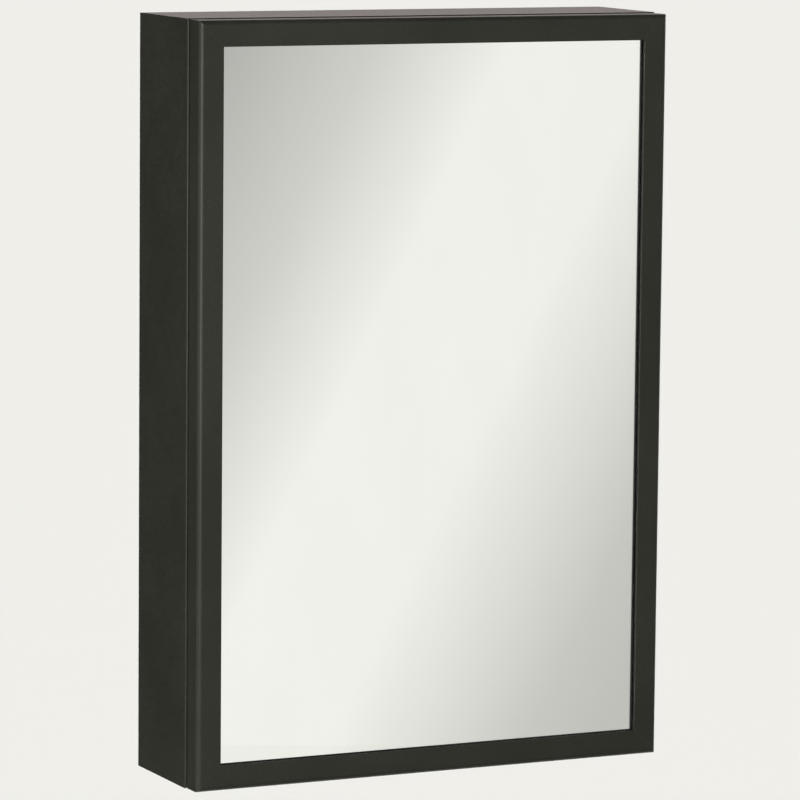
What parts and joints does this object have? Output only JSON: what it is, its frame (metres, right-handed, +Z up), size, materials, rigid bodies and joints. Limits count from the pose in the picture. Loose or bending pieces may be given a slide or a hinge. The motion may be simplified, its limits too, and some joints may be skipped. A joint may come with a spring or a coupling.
{
  "type": "medicine cabinet with mirror",
  "caption": "Wall-hung medicine cabinet: a shallow black metal case with glass shelves behind one framed mirror door hinged on its right side.",
  "frame": {"origin": "centre of the case's back face, in the plane of the wall", "axes": "+X to the right seen from the room, +Y into the wall, +Z up"},
  "size_m": [0.4125, 0.121, 0.61],
  "materials": {
    "black_coat": "fine-grained matt black powder coat",
    "mirror": "silvered float glass with ground edges",
    "shelf_glass": "clear glass with ground edges",
    "black_rubber": "matt",
    "core_board": "raw fibreboard",
    "aluminium": "mill",
    "zinc_steel": "bright zinc plate",
    "black_plastic": "fine moulded grain",
    "magnet": "sintered ferrite, ground face"
  },
  "bodies": {
    "case": {"back_panel": "black_coat", "case_bottom": "black_coat", "case_left_side": "black_coat", "case_right_side": "black_coat", "case_top": "black_coat", "catch_housing": "black_plastic", "catch_magnet": "magnet", "catch_screw_lower": "zinc_steel", "catch_screw_upper": "zinc_steel", "door_bumper_lower": "black_rubber", "door_bumper_upper": "black_rubber", "hanging_rail_lower": "black_coat", "hanging_rail_upper": "black_coat", "lower_hinge_case_leaf": "zinc_steel", "lower_hinge_case_screw_lower": "zinc_steel", "lower_hinge_case_screw_upper": "zinc_steel", "lower_hinge_pin": "zinc_steel", "shelf_lower": "shelf_glass", "shelf_pin_lower_left_front": "zinc_steel", "shelf_pin_lower_left_rear": "zinc_steel", "shelf_pin_lower_right_front": "zinc_steel", "shelf_pin_lower_right_rear": "zinc_steel", "shelf_pin_upper_left_front": "zinc_steel", "shelf_pin_upper_left_rear": "zinc_steel", "shelf_pin_upper_right_front": "zinc_steel", "shelf_pin_upper_right_rear": "zinc_steel", "shelf_standard_left_front": "black_coat", "shelf_standard_left_rear": "black_coat", "shelf_standard_right_front": "black_coat", "shelf_standard_right_rear": "black_coat", "shelf_upper": "shelf_glass", "upper_hinge_case_leaf": "zinc_steel", "upper_hinge_case_screw_lower": "zinc_steel", "upper_hinge_case_screw_upper": "zinc_steel", "upper_hinge_pin": "zinc_steel"},
    "door": {"corner_key_lower_left": "aluminium", "corner_key_lower_right": "aluminium", "corner_key_upper_left": "aluminium", "corner_key_upper_right": "aluminium", "door_core_board": "core_board", "door_frame_bottom": "black_coat", "door_frame_left": "black_coat", "door_frame_right": "black_coat", "door_frame_top": "black_coat", "door_inner_mirror": "mirror", "lower_hinge_door_leaf": "zinc_steel", "lower_hinge_door_screw_lower": "zinc_steel", "lower_hinge_door_screw_upper": "zinc_steel", "mirror_gasket": "black_rubber", "mirror_glass": "mirror", "strike_plate": "zinc_steel", "strike_screw_lower": "zinc_steel", "strike_screw_upper": "zinc_steel", "upper_hinge_door_leaf": "zinc_steel", "upper_hinge_door_screw_lower": "zinc_steel", "upper_hinge_door_screw_upper": "zinc_steel"}
  },
  "joints": [
    {"name": "door_hinge", "type": "hinge", "parent": "case", "child": "door", "pos_m": [0.2046, -0.09925, 0], "axis": [0, 0, 1], "range_deg": [0, 105]}
  ]
}
